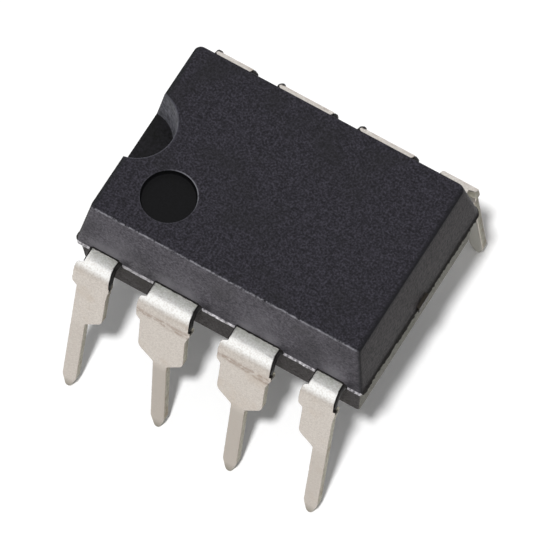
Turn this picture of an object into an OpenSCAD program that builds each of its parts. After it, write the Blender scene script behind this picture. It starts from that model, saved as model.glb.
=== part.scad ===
// Eight-lead dual in-line integrated circuit, standing on the tips of its leads.
// Millimetres. +Z is up, +X runs along the body away from the notched end.
// The origin is on the standing surface, midway between the two rows of lead tips.
// Lead 1 is at the notched end on the -Y side; the count runs along -Y and back along +Y.

/* [Moulded body] */
// Length of the body at its parting line beyond the centre line of an end lead
end_overhang = 0.67; // [0.5:0.01:1.3]
// Width of the body at its parting line
body_width = 6.35; // [6.1:0.05:7.1]
// Height of the upper half, above the parting line
upper_height = 1.77; // [1.5:0.01:2.2]
// Height of the lower half, below the parting line
lower_height = 1.53; // [1.2:0.01:2.0]
// Slope of the upper half's two ends, in degrees from upright
end_slope = 9.4; // [5:0.1:12]
// Slope of the upper half's two long sides, in degrees from upright
side_slope = 11.3; // [5:0.1:14]
// Slope of the lower half's four sides, in degrees from upright
lower_slope = 4.2; // [3:0.1:10]
// How far the lower half stands back from the upper half's edge at the parting line
lower_inset = 0.05; // [0.01:0.01:0.1]
// Radii of the upright corners: front left, front right, back right, back left
corner_radii = [0.16, 0.08, 0.22, 0.2]; // [0.05:0.01:0.4]
// Height of the parting line above the lead tips
parting_height = 5.62; // [5.0:0.02:6.8]

/* [Notch, dimple and ejector marks] */
// Radius of the end notch at the top face
notch_radius = 1.09; // [0.7:0.01:1.3]
// Radius of the end notch at its floor
notch_floor_radius = 0.96; // [0.6:0.01:1.2]
// Depth of the end notch below the top face
notch_depth = 1.2; // [0.6:0.05:1.3]
// Distance from the parting line's end to the notch's centre
notch_inset = 0.08; // [0:0.02:0.3]
// Radius of the round dimple beside lead 1
dimple_radius = 0.77; // [0.4:0.01:0.9]
// Depth of the dimple
dimple_depth = 0.18; // [0.05:0.01:0.35]
// Distance from the parting line's end to the dimple's centre
dimple_from_end = 1.96; // [1.7:0.02:3]
// Distance from the parting line's long side to the dimple's centre
dimple_from_side = 1.69; // [1.5:0.02:2.2]
// Radius of the two ejector pin marks on the underside
ejector_radius = 0.85; // [0.4:0.05:1.2]
// Depth of the ejector pin marks
ejector_depth = 0.08; // [0.03:0.01:0.2]
// Distance between the two ejector pin marks
ejector_spacing = 5.4; // [4:0.1:6]

/* [Lead blank] */
// Distance between neighbouring leads
lead_pitch = 2.54; // [2.4:0.01:2.6]
// Thickness of the lead sheet
lead_thickness = 0.25; // [0.2:0.01:0.3]
// Width of a middle lead where it leaves the body
shank_width = 1.344; // [1.1:0.01:1.5]
// Width of an end lead where it leaves the body
end_shank_width = 0.82; // [0.6:0.01:0.9]
// Distance from an end lead's centre line to its outer edge at the body
end_shank_outer = 0.11; // [0:0.01:0.2]
// Width across the two sheared dam-bar stubs of a middle lead
stub_width = 1.68; // [1.5:0.01:1.8]
// Distance from an end lead's centre line to its outer dam-bar stub
end_stub_outer = 0.29; // [0.22:0.01:0.4]
// Width of a middle lead's broad upper leg
broad_width = 1.41; // [1.2:0.01:1.5]
// Width of the narrow pin that enters the board
pin_width = 0.43; // [0.35:0.01:0.55]
// Width of the flat at the very tip
tip_width = 0.15; // [0.08:0.01:0.3]
// Length of the tapered tip
tip_length = 0.46; // [0.2:0.01:0.7]
// Length of the leg from the bend to the lower corner of the stubs
stub_length = 0.2; // [0.1:0.01:0.4]
// Length of the slanted step from the stubs to the broad leg
stub_step = 0.22; // [0.1:0.01:0.4]
// Length of the leg from the bend to the start of its shoulders
shoulder_start = 1.62; // [1.0:0.01:2.0]
// Radius of the shoulders' outer corners
shoulder_radius = 0.28; // [0.1:0.01:0.35]
// Radius of the fillets between the shoulders and the pin
shoulder_fillet = 0.15; // [0.05:0.01:0.25]
// Direction of the shoulders' slanted edge, in degrees from the leg
shoulder_slant = 50; // [35:1:75]
// Length by which a leg's pin and the leg above it run into each other
pin_lap = 0.06; // [0.04:0.01:0.1]

/* [Lead forming] */
// Outer radius of the bend
bend_radius = 0.42; // [0.35:0.01:0.5]
// Arc of the bend, in degrees, before the dam-bar stubs begin
bend_plain = 19; // [8:1:35]
// Distance from the parting line to the outer corner of the front row's bends
front_stand_off = 0.685; // [0.6:0.01:0.8]
// Distance from the parting line to the outer corner of the back row's bends
back_stand_off = 0.53; // [0.45:0.01:0.8]
// Outward splay of leads 1 to 4, in degrees
front_splay = [10.4, 9.75, 9.75, 9]; // [0:0.05:14]
// Outward splay of leads 5 to 8, in degrees
back_splay = [9.1, 8.6, 8.2, 8.4]; // [0:0.05:14]
// Sideways lean of leads 1 to 4, in degrees towards +X
front_lean = [-1.2, 1.9, 0, -0.4]; // [-3:0.1:3]
// Sideways lean of leads 5 to 8, in degrees towards +X
back_lean = [0, 0.4, -0.5, 0]; // [-3:0.1:3]
// Sideways offset of the legs of leads 1 to 4 at the bend
front_offset = [0.09, 0, 0, 0.02]; // [-0.12:0.01:0.12]
// Inward kink of the pins of leads 1 to 4, in degrees
front_kink = [0, 2.3, 0, 0]; // [0:0.1:6]

/* [Resin along the leads] */
// Width by which the resin strips stop short of the dam-bar stubs' outer edges
flash_gap = 0.03; // [0.02:0.01:0.08]
// Thickness of the tool's seal above and below the resin strips
flash_seal = 0.025; // [0.01:0.005:0.05]
// Length by which the resin strips run into the body
flash_root = 0.15; // [0.1:0.01:0.3]

/* [Inside the resin] */
// Length of the die paddle
paddle_length = 3.2; // [2.4:0.05:3.6]
// Width of the die paddle
paddle_width = 2.3; // [1.8:0.05:2.6]
// Depth that the paddle is set below the leads
paddle_downset = 0.3; // [0.15:0.01:0.45]
// Width of the two tie bars that held the paddle in its strip
tie_width = 0.5; // [0.3:0.01:0.7]
// Length of the cut tie bar that stands proud at the notched end
tie_proud_notch = 0.02; // [0.01:0.01:0.1]
// Length of the cut tie bar that stands proud at the plain end
tie_proud_plain = 0.08; // [0.01:0.01:0.1]
// Length of the ramp by which a tie bar steps down to the paddle
tie_ramp = 0.45; // [0.3:0.01:0.6]
// Length of the die
die_length = 1.9; // [1.2:0.05:2.2]
// Width of the die
die_width = 1.5; // [1.0:0.05:1.7]
// Thickness of the die
die_thickness = 0.28; // [0.2:0.01:0.35]
// Thickness of the adhesive under the die
attach_thickness = 0.03; // [0.02:0.005:0.05]
// Width by which the adhesive spreads beyond the die
attach_spread = 0.06; // [0.02:0.01:0.12]
// Distance from the die's edges to its bond pads
pad_inset = 0.13; // [0.08:0.01:0.2]
// Distance from a finger's tip to the wire that is stitched on it
stitch_inset = 0.2; // [0.1:0.01:0.3]
// Sideways offset of a middle finger's stitch towards the middle
stitch_offset = 0.3; // [0.1:0.01:0.35]
// Gap between the paddle and the tips of the lead fingers
finger_gap = 0.28; // [0.2:0.01:0.4]
// Width of the neck by which the resin grips each finger
finger_neck = 0.5; // [0.35:0.01:0.7]
// Distance from the parting line's long side to the start of the neck
neck_start = 0.45; // [0.3:0.01:0.6]
// Length of the neck
neck_length = 0.4; // [0.2:0.01:0.5]
// Width of a middle finger's nose
nose_width = 0.84; // [0.6:0.02:1.2]
// Distance from an end finger's outer edge to where its arm's slant ends
arm_start = 0.51; // [0.4:0.01:0.7]
// Diameter of the bond wires
wire_diameter = 0.05; // [0.025:0.005:0.06]
// Rise of a bond wire above the line between its two ends
wire_rise = 0.34; // [0.2:0.01:0.4]

/* [Hidden] */

PER_ROW = 4;
LEADS = 2 * PER_ROW;
ARC_STEPS = 6;
$fn = 64;

resin = [0.2, 0.2, 0.22];
tin = [0.8, 0.78, 0.75];
copper = [0.75, 0.5, 0.35];
silver_glue = [0.7, 0.7, 0.72];
silicon = [0.35, 0.38, 0.45];
gold = [0.85, 0.68, 0.3];

// Signs of x and y at each upright corner, in the order of the radii
CORNERS = [[-1, -1], [1, -1], [1, 1], [-1, 1]];

// The row of leads sets the body's length
body_length = (PER_ROW - 1) * lead_pitch + 2 * end_overhang;

function unit(v) = v / norm(v);

half_length = body_length / 2;
half_width = body_width / 2;
half_sheet = lead_thickness / 2;
bend_inner = bend_radius - lead_thickness;
bend_middle = bend_radius - half_sheet;

// Row and place of lead n along its row, from 0 at the row's first lead
function back_row(n) = n > PER_ROW;
function place(n) = (n - 1) % PER_ROW;
function end_lead(n) = place(n) == 0 || place(n) == PER_ROW - 1;
function lead_x(n) = (place(n) - (PER_ROW - 1) / 2) * lead_pitch;

// How lead n was formed; a back lead is drawn at the front and turned half round
function splay(n) = back_row(n) ? back_splay[place(n)] : front_splay[place(n)];
function lean(n) = back_row(n) ? -back_lean[place(n)] : front_lean[place(n)];
function leg_offset(n) = back_row(n) ? 0 : front_offset[place(n)];
function kink(n) = back_row(n) ? 0 : front_kink[place(n)];
function reach(n) = back_row(n) ? back_stand_off : front_stand_off;

// The flat run from the parting line to the bend, whose outer corner is at the reach
function flat_run(n) = reach(n) - bend_radius * tan((90 - splay(n)) / 2);
function bend_y(n) = -half_width - flat_run(n);
bend_z = half_sheet - bend_radius;

// The shoulder's outline, and how far down the leg its fillet ends
function slant_across() = broad_width / 2 - pin_width / 2
    - (shoulder_radius + shoulder_fillet) * (1 - cos(shoulder_slant));
shoulder_end = shoulder_start + (shoulder_radius + shoulder_fillet) * sin(shoulder_slant)
    + slant_across() / tan(shoulder_slant);

// Leg length at which the lowest corner of lead n's tip meets the standing surface
function bend_drop(n) = -bend_z - bend_middle * sin(splay(n));
function corner_drop(n) = half_sheet * sin(splay(n) - kink(n)) + tip_width / 2 * sin(abs(lean(n)));
function broad_drop(n) = shoulder_end * cos(splay(n)) * cos(lean(n));
function pin_length(n) = (parting_height - bend_drop(n) - broad_drop(n) - corner_drop(n))
    / (cos(splay(n) - kink(n)) * cos(lean(n)));

// Outermost reach of a row's tips, and the shift that centres the two rows on the origin
function tip_out(n) = half_width + flat_run(n) + bend_middle * cos(splay(n))
    + half_sheet * cos(splay(n) - kink(n))
    + cos(lean(n)) * (shoulder_end * sin(splay(n)) + pin_length(n) * sin(splay(n) - kink(n)));
front_out = max([for (n = [1 : PER_ROW]) tip_out(n)]);
back_out = max([for (n = [PER_ROW + 1 : LEADS]) tip_out(n)]);
centre_shift = (front_out - back_out) / 2;

// Edges of lead n to its left and right: [at the body, at the stubs, along the broad leg]
function inner_edges() = [shank_width / 2, stub_width / 2, broad_width / 2];
function outer_edges() = [end_shank_outer, end_stub_outer, pin_width / 2];
function end_inner_edges() = [end_shank_width - end_shank_outer, stub_width / 2, broad_width / 2];
function left_edges(n) = place(n) == 0 ? outer_edges() : end_lead(n) ? end_inner_edges() : inner_edges();
function right_edges(n) = place(n) == PER_ROW - 1 ? outer_edges()
    : end_lead(n) ? end_inner_edges() : inner_edges();

// Heights of the pieces inside the resin, from the parting line
paddle_top = half_sheet - paddle_downset;
die_base = paddle_top + attach_thickness;
die_top = die_base + die_thickness;

// Wire ends: a ball on the die and a stitch on the finger
wire_radius = wire_diameter / 2;
bond_radius = 1.9 * wire_radius;
bond_height = 1.6 * wire_radius;

// Bond pad on the die and stitch on the finger of lead n, seen from the front row
function pad_x(n) = (end_lead(n) ? 0.5 : 0.2) * (die_length - 2 * pad_inset) * sign(lead_x(n));
function pad_y(n) = end_lead(n) ? -0.25 * die_width : pad_inset - die_width / 2;
function middle_tip_y() = -paddle_width / 2 - finger_gap;
function end_tip_x() = paddle_length / 2 + finger_gap;
function stitch_x(n) = end_lead(n) ? (end_tip_x() + stitch_inset) * sign(lead_x(n))
    : lead_x(n) - stitch_offset * sign(lead_x(n));
function stitch_y(n) = end_lead(n) ? end_finger_y : middle_tip_y() - stitch_inset;
end_finger_y = -tie_width / 2 - finger_gap - finger_neck / 2;

// Moves what is drawn about the body's centre at the parting line into the part's frame
module in_frame() {
    translate([0, centre_shift, parting_height]) children();
}

// Puts what is drawn for the front row into lead n's own row
module in_row(n) {
    rotate([0, 0, back_row(n) ? 180 : 0]) children();
}

// One half of the moulding, its four sides drafted and its upright corners rounded
module drafted_half(height, x_slope, y_slope, inset) {
    x = half_length - inset;
    y = half_width - inset;
    x_in = height * tan(x_slope);
    y_in = height * tan(y_slope);
    difference() {
        intersection() {
            rotate([90, 0, 0]) linear_extrude(height = body_width, center = true)
                polygon([[-x, 0], [x, 0], [x - x_in, height], [x_in - x, height]]);
            rotate([90, 0, 90]) linear_extrude(height = body_length, center = true)
                polygon([[-y, 0], [y, 0], [y - y_in, height], [y_in - y, height]]);
        }
        for (i = [0 : 3])
            mirror([CORNERS[i][0] < 0 ? 1 : 0, 0, 0]) mirror([0, CORNERS[i][1] < 0 ? 1 : 0, 0])
                corner_waste([x, y, 0], x_in, y_in, height, corner_radii[i]);
    }
}

// What a radius takes off one drafted corner: a wedge along the corner's edge, less a cylinder
// that lies along the same edge and bites a hair deeper than the two sides
module corner_waste(corner, x_in, y_in, height, radius) {
    bite = 0.003;
    past = 0.3;
    end_normal = unit([height, 0, x_in]);
    side_normal = unit([0, height, y_in]);
    both = end_normal + side_normal;
    centre = corner - both * (radius - bite) / (1 + end_normal * side_normal);
    heading = atan2(-y_in, -x_in);
    tilt = atan2(norm([x_in, y_in]), height);
    across = [cos(tilt) * cos(heading), cos(tilt) * sin(heading), -sin(tilt)];
    along = [-sin(heading), cos(heading), 0];
    reach = 3 * radius;
    a = reach * [end_normal * across, end_normal * along];
    b = reach * [side_normal * across, side_normal * along];
    translate(centre) rotate([0, tilt, heading]) translate([0, 0, -past])
        linear_extrude(height = height + 3 * past) difference() {
            polygon([[0, 0], a, a + b, b]);
            circle(r = radius);
        }
}

// The half-round notch in the end beside lead 1, the dimple and the underside's two ejector marks
module mould_recesses() {
    clear = 0.5;
    grow = (notch_radius - notch_floor_radius) / notch_depth;
    translate([notch_inset - half_length, 0, upper_height - notch_depth])
        cylinder(r1 = notch_floor_radius, r2 = notch_radius + grow * clear, h = notch_depth + clear);
    translate([dimple_from_end - half_length, dimple_from_side - half_width, upper_height - dimple_depth])
        cylinder(r = dimple_radius, h = dimple_depth + clear);
    for (side = [-1, 1])
        translate([side * ejector_spacing / 2, 0, -lower_height - clear])
            cylinder(r = ejector_radius, h = clear + ejector_depth);
}

// Resin that ran along both edges of lead n, between the body and the dam-bar stubs
module lead_flash(n) {
    l = left_edges(n);
    r = right_edges(n);
    for (strip = [[-l[1] + flash_gap, -l[0]], [r[0], r[1] - flash_gap]]) {
        translate([lead_x(n) + strip[0], bend_y(n), flash_seal - half_sheet])
            cube([strip[1] - strip[0], flat_run(n) + flash_root, lead_thickness - 2 * flash_seal]);
        translate([lead_x(n), bend_y(n), bend_z])
            rotate(a = 180, v = [1, 0, 1])
                rotate_extrude(angle = bend_plain)
                    translate([bend_inner + flash_seal, strip[0]])
                        square([lead_thickness - 2 * flash_seal, strip[1] - strip[0]]);
    }
}

// The black resin moulding, with a pocket of the exact shape of each piece that it holds
module mould_body() {
    color(resin)
    difference() {
        union() {
            drafted_half(upper_height, end_slope, side_slope, 0);
            mirror([0, 0, 1]) drafted_half(lower_height, lower_slope, lower_slope, lower_inset);
            for (n = [1 : LEADS]) in_row(n) lead_flash(n);
        }
        mould_recesses();
        for (n = [1 : LEADS]) in_row(n) lead_sheet(n);
        paddle_solid();
        attach_solid();
        die_solid();
        for (n = [1 : LEADS]) in_row(n) wire_solid(n);
    }
}

// Finger of a middle lead inside the resin: a waist that the resin grips, then a nose at the die
function middle_finger(n) = let (w = shank_width / 2, near = neck_start - half_width, far = near + neck_length,
        neck = finger_neck / 2, nose = nose_width / 2, tip = middle_tip_y())
    [[-w, near], [-neck, near], [-neck, far], [-nose, far], [-nose, tip],
        [nose, tip], [nose, far], [neck, far], [neck, near], [w, near]];

// Finger of lead 1 inside the resin: a waist, an arm beside the paddle and a nose beside its end
function end_finger(n) = let (l = end_shank_outer, r = end_shank_width - end_shank_outer,
        near = neck_start - half_width, far = near + neck_length, neck = finger_neck,
        low = end_finger_y - finger_neck / 2, high = end_finger_y + finger_neck / 2,
        tip = -end_tip_x() + abs(lead_x(n)), corner = arm_start + l)
    [[-l, near], [0, near], [0, far], [-l, far], [-l, low],
        [arm_start, high], [tip, high], [tip, low], [corner, low], [corner, far], [neck, far],
        [neck, near], [r, near]];

// The flat sheet of lead n, from the start of its bend to its nose beside the die
module lead_sheet(n) {
    l = left_edges(n)[0];
    r = right_edges(n)[0];
    mirrored = place(n) == PER_ROW - 1;
    outer = mirrored ? r : l;
    inner = mirrored ? l : r;
    translate([lead_x(n), 0, -half_sheet])
        mirror([mirrored ? 1 : 0, 0, 0])
            linear_extrude(height = lead_thickness)
                polygon(concat([[-outer, bend_y(n)]], end_lead(n) ? end_finger(n) : middle_finger(n),
                    [[inner, bend_y(n)]]));
}

// One stretch of lead n's bend, between two angles from the flat
module bend_arc(n, from, to, edge) {
    l = left_edges(n)[edge];
    r = right_edges(n)[edge];
    translate([lead_x(n), bend_y(n), bend_z])
        rotate(a = 180, v = [1, 0, 1])
            rotate([0, 0, from])
                rotate_extrude(angle = to - from)
                    translate([bend_inner, -l]) square([lead_thickness, l + r]);
}

// Right-hand outline of a leg with shoulders, from the bend down to its pin; the leg may be offset
// from the bend above it, but its stubs are not
function shouldered(edges, offset) = let (r = shoulder_radius, f = shoulder_fillet,
        w = edges[2], p = pin_width / 2)
    concat([[edges[1] - offset, 0], [edges[1] - offset, stub_length], [w, stub_length + stub_step]],
        [for (i = [0 : ARC_STEPS]) let (a = shoulder_slant * i / ARC_STEPS)
            [w - r + r * cos(a), shoulder_start + r * sin(a)]],
        [for (i = [0 : ARC_STEPS]) let (a = shoulder_slant * (1 - i / ARC_STEPS))
            [p + f - f * cos(a), shoulder_end - f * sin(a)]]);

// Right-hand outline of a leg whose edge runs straight down to its pin
function straight(edges, offset) = [[edges[1] - offset, 0], [edges[1] - offset, stub_length],
    [edges[2], stub_length + stub_step], [edges[2], shoulder_end]];

function outline(edges, offset) = edges[2] > pin_width / 2 ? shouldered(edges, offset)
    : straight(edges, offset);
function flip_u(points) = [for (i = [len(points) - 1 : -1 : 0]) [-points[i][0], points[i][1]]];

// A flat plate of lead sheet that hangs down from its outline's top, v being the distance down
module hanging_plate(points) {
    rotate([90, 0, 0]) linear_extrude(height = lead_thickness, center = true)
        polygon([for (p = points) [p[0], -p[1]]]);
}

// The leg of lead n below its bend: broad upper leg, shoulders and tapered pin
module leg(n) {
    run = pin_length(n);
    p = pin_width / 2;
    t = tip_width / 2;
    translate([lead_x(n), bend_y(n), bend_z]) rotate([-splay(n), 0, 0]) translate([0, -bend_middle, 0]) {
        translate([leg_offset(n), 0, 0]) rotate([0, -lean(n), 0]) {
            hanging_plate(concat(outline(right_edges(n), leg_offset(n)),
                flip_u(outline(left_edges(n), -leg_offset(n)))));
            translate([0, 0, -shoulder_end]) rotate([kink(n), 0, 0])
                hanging_plate([[p, -pin_lap], [p, run - tip_length], [t, run],
                    [-t, run], [-p, run - tip_length], [-p, -pin_lap]]);
        }
    }
}

// A whole lead, stamped from one sheet and bent down outside the body
module lead(n) {
    color(tin) in_row(n) {
        lead_sheet(n);
        bend_arc(n, 0, bend_plain, 0);
        bend_arc(n, bend_plain, 90 - splay(n), 1);
        leg(n);
    }
}

// The paddle under the die, with the tie bars that step up to the plane of the leads
module paddle_solid() {
    half = paddle_length / 2;
    translate([0, 0, paddle_top - half_sheet])
        cube([paddle_length, paddle_width, lead_thickness], center = true);
    for (bar = [[1, tie_proud_notch], [0, tie_proud_plain]]) let (end = half_length + bar[1])
        mirror([bar[0], 0, 0]) rotate([90, 0, 0]) linear_extrude(height = tie_width, center = true)
            polygon([[half - tie_ramp / 2, paddle_top - lead_thickness], [half, paddle_top - lead_thickness],
                [half + tie_ramp, -half_sheet], [end, -half_sheet], [end, half_sheet],
                [half + tie_ramp, half_sheet], [half, paddle_top], [half - tie_ramp / 2, paddle_top]]);
}

module attach_solid() {
    translate([0, 0, paddle_top + attach_thickness / 2])
        cube([die_length + 2 * attach_spread, die_width + 2 * attach_spread, attach_thickness], center = true);
}

module die_solid() {
    translate([0, 0, die_base + die_thickness / 2]) cube([die_length, die_width, die_thickness], center = true);
}

// A bond wire: a ball on the die's pad, an arc of wire and a stitch on the finger
module wire_solid(n) {
    a = [pad_x(n), pad_y(n), die_top + bond_height / 2];
    b = [stitch_x(n), stitch_y(n), half_sheet + bond_height / 2];
    level = norm([b[0] - a[0], b[1] - a[1]]);
    chord = norm(b - a);
    heading = atan2(b[1] - a[1], b[0] - a[0]);
    tilt = atan2(b[2] - a[2], level);
    radius = (chord * chord / 4 + wire_rise * wire_rise) / (2 * wire_rise);
    half_arc = asin(chord / 2 / radius);
    translate(a) rotate([0, 0, heading]) rotate([0, -tilt, 0])
        translate([chord / 2, 0, wire_rise - radius]) rotate([90, 0, 0])
            rotate([0, 0, 90 - half_arc]) rotate_extrude(angle = 2 * half_arc)
                translate([radius, 0]) circle(r = wire_radius);
    translate([a[0], a[1], die_top]) cylinder(r = bond_radius, h = bond_height);
    translate([b[0], b[1], half_sheet]) cylinder(r = bond_radius, h = bond_height);
}

module bond_wire(n) {
    color(gold) in_row(n) wire_solid(n);
}

in_frame() mould_body();
in_frame() lead(1);  // lead_1
in_frame() lead(2);  // lead_2
in_frame() lead(3);  // lead_3
in_frame() lead(4);  // lead_4
in_frame() lead(5);  // lead_5
in_frame() lead(6);  // lead_6
in_frame() lead(7);  // lead_7
in_frame() lead(8);  // lead_8
in_frame() color(copper) paddle_solid();  // die_paddle
in_frame() color(silver_glue) attach_solid();  // die_attach
in_frame() color(silicon) die_solid();  // silicon_die
in_frame() bond_wire(1);  // bond_wire_1
in_frame() bond_wire(2);  // bond_wire_2
in_frame() bond_wire(3);  // bond_wire_3
in_frame() bond_wire(4);  // bond_wire_4
in_frame() bond_wire(5);  // bond_wire_5
in_frame() bond_wire(6);  // bond_wire_6
in_frame() bond_wire(7);  // bond_wire_7
in_frame() bond_wire(8);  // bond_wire_8
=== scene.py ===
"""An eight-lead dual in-line integrated circuit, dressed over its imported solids.

The file follows the making of such a package: the stamped strip of leads and paddle, the die and its
wires, the resin moulded round them with its flash, and then the room and the camera. Lengths are in
millimetres and mm brings them to metres.
"""
import math

import bmesh
import bpy
from mathutils import Matrix, Vector, noise


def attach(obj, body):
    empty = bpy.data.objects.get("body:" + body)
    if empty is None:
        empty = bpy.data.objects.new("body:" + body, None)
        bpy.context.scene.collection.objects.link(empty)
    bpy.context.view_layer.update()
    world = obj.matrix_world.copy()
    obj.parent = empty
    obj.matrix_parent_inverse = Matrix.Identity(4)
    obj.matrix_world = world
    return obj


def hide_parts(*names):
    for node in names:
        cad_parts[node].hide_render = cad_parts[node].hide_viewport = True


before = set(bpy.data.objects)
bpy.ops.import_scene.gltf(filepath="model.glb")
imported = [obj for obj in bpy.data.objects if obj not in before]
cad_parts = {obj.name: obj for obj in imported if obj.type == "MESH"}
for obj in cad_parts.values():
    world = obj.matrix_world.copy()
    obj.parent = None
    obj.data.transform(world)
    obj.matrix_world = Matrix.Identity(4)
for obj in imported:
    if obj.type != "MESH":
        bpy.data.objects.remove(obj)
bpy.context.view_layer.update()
mm = 0.001

# Leads. Eight strips of copper alloy, 0.25 mm thick, stamped flat in one frame, tin-plated after
# moulding, cut from their dam bars and bent down outside the body. Each keeps the die roll on its
# outer edges, the torn ends of its dam bar and the marks of the tool that bent it.
lead_pitch = 2.54
sheet = 0.25
parting_height = 5.62
row_centre = 0.143483
body_half_width = 3.175
bend_outer = 0.42
bend_middle = bend_outer - sheet / 2
bend_plain = math.radians(19)
# Length of a dam-bar stub down the leg and of the step below it, on the left and on the right
stub_ends = ((0.4, 0.14), (0.2, 0.38))
flare_start, flare = 0.24, 0.115
shoulder_start, shoulder_radius, shoulder_fillet, shoulder_slant = 1.62, 0.28, 0.15, math.radians(50)
pin_half, tip_half, tip_length = 0.215, 0.075, 0.46
finger_near, finger_far = -0.45, -0.85

# Half widths at the body, at the dam-bar stubs and along the broad leg
both_sides = (0.672, 0.84, 0.705)
outer_side = (0.11, 0.29, 0.215)
inner_side = (0.71, 0.84, 0.705)

# Number: stand-off of the bend, splay, sideways lean, sideways offset, kink of the pin
forming = {
    1: (0.685, 10.4, -1.2, 0.09, 0.0),
    2: (0.685, 9.75, 1.9, 0.0, 2.3),
    3: (0.685, 9.75, 0.0, 0.0, 0.0),
    4: (0.685, 9.0, -0.4, 0.02, 0.0),
    5: (0.53, 9.1, 0.0, 0.0, 0.0),
    6: (0.53, 8.6, -0.4, 0.0, 0.0),
    7: (0.53, 8.2, 0.5, 0.0, 0.0),
    8: (0.53, 8.4, 0.0, 0.0, 0.0),
}
# How much darker each front pin is made, partly dull tin and partly painted shade, the kinds of wear
# and of painted light and shade that the mesh carries, and the lines that the former
# pinched at the bends of leads 2, 3 and the back row: distance below the bend, slant, depth, width
pin_darkening = {1: 0.25, 2: 1.0, 3: 0.85, 4: 0.4}
wear_and_light_layers = ("stain", "edge", "darkened_sides", "down", "bend", "darker_pin", "under")
pinches = {2: ((0.10, 0.05, 0.010, 0.026), (0.21, 0.10, 0.006, 0.024)),
           3: ((0.12, 0.02, 0.013, 0.030), (0.24, 0.12, 0.012, 0.026))}
pinches.update({number: ((-0.17, 0.02, 0.002, 0.045),) for number in (5, 6, 7, 8)})

slant_across = both_sides[2] - pin_half - (shoulder_radius + shoulder_fillet) * (1 - math.cos(shoulder_slant))
shoulder_end = (shoulder_start + (shoulder_radius + shoulder_fillet) * math.sin(shoulder_slant)
                + slant_across / math.tan(shoulder_slant))


def half_widths(number):
    """Half widths of a lead to its left and to its right, seen from its own row."""
    place = (number - 1) % 4
    return (outer_side if place == 0 else inner_side if place == 3 else both_sides,
            outer_side if place == 3 else inner_side if place == 0 else both_sides)


# The leg's own offset and lean begin in one short step, this long, where the bend ends
joint = 0.0005


def course_of(number):
    """How a lead runs: where its bend, stubs and leg begin, and the angles of its leg and pin."""
    stand_off, splay, lean, offset, kink = forming[number]
    splay, lean, kink = math.radians(splay), math.radians(lean), math.radians(kink)
    turn = math.pi / 2 - splay
    flat = stand_off - bend_outer * math.tan(turn / 2)
    return {"splay": splay, "lean": lean, "kink": kink, "offset": offset, "turn": turn, "flat": flat,
            "stub": flat + bend_middle * bend_plain, "leg": flat + bend_middle * turn}


def on_lead(course, u, v, t):
    """A point u across, v along and t above the middle of the strip, where bending has taken it."""
    if v <= course["flat"]:
        return Vector((u, -body_half_width - v, t))
    a = min((v - course["flat"]) / bend_middle, course["turn"])
    out, down = Vector((-math.sin(a), math.cos(a))), Vector((-math.cos(a), -math.sin(a)))
    foot = Vector((-body_half_width - course["flat"], -bend_middle))
    w = v - course["leg"]
    if w < joint / 2:
        return Vector((u, *(foot + out * (bend_middle + t))))
    lean = course["lean"]
    along = w * math.cos(lean) - (u * math.sin(lean) if w > 0.02 else 0)
    across = course["offset"] + u * math.cos(lean) + w * math.sin(lean)
    over = along - shoulder_end
    if over <= 0 or not course["kink"]:
        return Vector((across, *(foot + out * (bend_middle + t) + down * along)))
    bent = course["splay"] - course["kink"]
    pin_out, pin_down = Vector((-math.cos(bent), math.sin(bent))), Vector((-math.sin(bent), -math.cos(bent)))
    return Vector((across, *(foot + out * bend_middle + down * shoulder_end + pin_down * over + pin_out * t)))


def leg_side(widths, offset, ends):
    """Half width against the distance below the bend, for one side of a leg down to its pin."""
    stub, leg = widths[1] - offset, widths[2]
    stub_length, stub_step = ends
    points = [(joint, stub), (stub_length * 0.8, stub), (stub_length, stub - 0.012), (stub_length + stub_step, leg)]
    if leg > pin_half:
        turn = [shoulder_slant * i / 8 for i in range(9)]
        points += [(shoulder_start + shoulder_radius * math.sin(a), leg - shoulder_radius * (1 - math.cos(a)))
                   for a in turn]
        points += [(shoulder_end - shoulder_fillet * math.sin(a), pin_half + shoulder_fillet * (1 - math.cos(a)))
                   for a in reversed(turn)]
    else:
        points.append((shoulder_end, leg))
    return points


def finger_sides(place):
    """Left and right edges of the finger inside the resin, from its nose out to the body's edge."""
    if place in (1, 2):
        edge = [(-1.745, 0.42), (finger_far, 0.42), (finger_far, 0.25), (finger_near, 0.25), (finger_near, 0.672)]
        return [(v, -u) for v, u in edge], edge
    outer = [(-2.645, 0.51), (-2.145, -0.11), (finger_far, -0.11), (finger_far, 0.0),
             (finger_near, 0.0), (finger_near, -0.11)]
    inner = [(-2.645, 1.93), (-2.145, 1.93), (-2.145, 0.62), (finger_far, 0.62), (finger_far, 0.5),
             (finger_near, 0.5), (finger_near, 0.71)]
    if place == 0:
        return outer, inner
    return [(v, -u) for v, u in inner], [(v, -u) for v, u in outer]


def edge_at(points, v):
    """The edge's place at v; at a step, the place just past it."""
    for (v0, u0), (v1, u1) in zip(points, points[1:]):
        if v0 <= v < v1:
            return u0 + (u1 - u0) * (v - v0) / (v1 - v0)
    return points[-1][1]


def strip_section():
    """The strip's section as (side, distance from that side or share of the width, height): rolled
    outer corners, sheared sides and a sharp burr below."""
    roll, burr = 0.036, 0.014
    rolled = [(roll * (1 - math.sin(a)), sheet / 2 - roll * (1 - math.cos(a)))
              for a in (math.pi / 2 * i / 4 for i in range(4, -1, -1))]
    lower = [(burr * (1 - math.sin(a)), -sheet / 2 + burr * (1 - math.cos(a)))
             for a in (math.pi / 2 * i / 2 for i in range(2, -1, -1))]
    section = [(-1, d, t) for d, t in rolled] + [(0, i / 14, sheet / 2) for i in range(1, 14)]
    section += [(1, d, t) for d, t in reversed(rolled)] + [(1, 0.0, 0.02)] + [(1, d, t) for d, t in lower]
    section += [(0, 1 - i / 6, -sheet / 2) for i in range(1, 6)]
    section += [(-1, d, t) for d, t in reversed(lower)] + [(-1, 0.0, 0.02)]
    return section, roll, burr


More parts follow.
